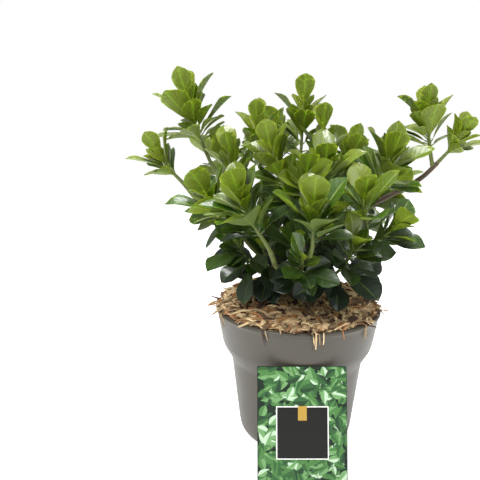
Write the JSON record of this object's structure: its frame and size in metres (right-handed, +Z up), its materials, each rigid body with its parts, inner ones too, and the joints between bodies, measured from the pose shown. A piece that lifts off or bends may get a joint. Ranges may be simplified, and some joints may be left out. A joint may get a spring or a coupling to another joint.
{
  "type": "potted japanese spindle",
  "caption": "Young evergreen shrub with glossy leaves in a round nursery pot with bark mulch and a picture card leaning on its front.",
  "frame": {"origin": "centre of the pot's flat underside", "axes": "+Z up along the pot's axis, -Y towards the front where the card leans, +X to the right as seen from the front"},
  "size_m": [0.32, 0.2848, 0.343],
  "materials": {
    "pot_plastic": "satin grey plastic",
    "compost": "loose damp compost",
    "mulch": "shredded bark and wood fibre",
    "card": null,
    "green_bark": "smooth green to brown bark",
    "foliage": "glossy evergreen leaves"
  },
  "bodies": {
    "root": {"bough_back": "green_bark", "bough_back_left": "green_bark", "bough_back_right": "green_bark", "bough_far_left": "green_bark", "bough_front": "green_bark", "bough_front_left": "green_bark", "bough_front_middle": "green_bark", "bough_left": "green_bark", "bough_left_crest": "green_bark", "bough_left_shoulder": "green_bark", "bough_right": "green_bark", "bough_right_front": "green_bark", "bough_right_middle": "green_bark", "card": "card", "compost": "compost", "leaves_back_crest": "foliage", "leaves_back_foot": "foliage", "leaves_back_left": "foliage", "leaves_back_left_low": "foliage", "leaves_back_low": "foliage", "leaves_back_middle": "foliage", "leaves_back_right": "foliage", "leaves_back_right_end": "foliage", "leaves_far_left": "foliage", "leaves_front": "foliage", "leaves_front_crest": "foliage", "leaves_front_low": "foliage", "leaves_inner_front": "foliage", "leaves_inner_left": "foliage", "leaves_inner_low": "foliage", "leaves_inner_low_right": "foliage", "leaves_inner_middle": "foliage", "leaves_inner_right": "foliage", "leaves_left_crest": "foliage", "leaves_left_foot": "foliage", "leaves_left_front": "foliage", "leaves_left_low": "foliage", "leaves_left_middle": "foliage", "leaves_left_shoulder": "foliage", "leaves_low_middle": "foliage", "leaves_right": "foliage", "leaves_right_end": "foliage", "leaves_right_foot": "foliage", "leaves_right_front": "foliage", "leaves_right_low": "foliage", "leaves_right_middle": "foliage", "leaves_right_top": "foliage", "leaves_top": "foliage", "leaves_top_right": "foliage", "leaves_upper_left": "foliage", "mulch": "mulch", "pot": "pot_plastic", "stem_back": "green_bark", "stem_centre": "green_bark", "stem_front": "green_bark", "stem_left": "green_bark", "stem_right": "green_bark"}
  },
  "joints": []
}
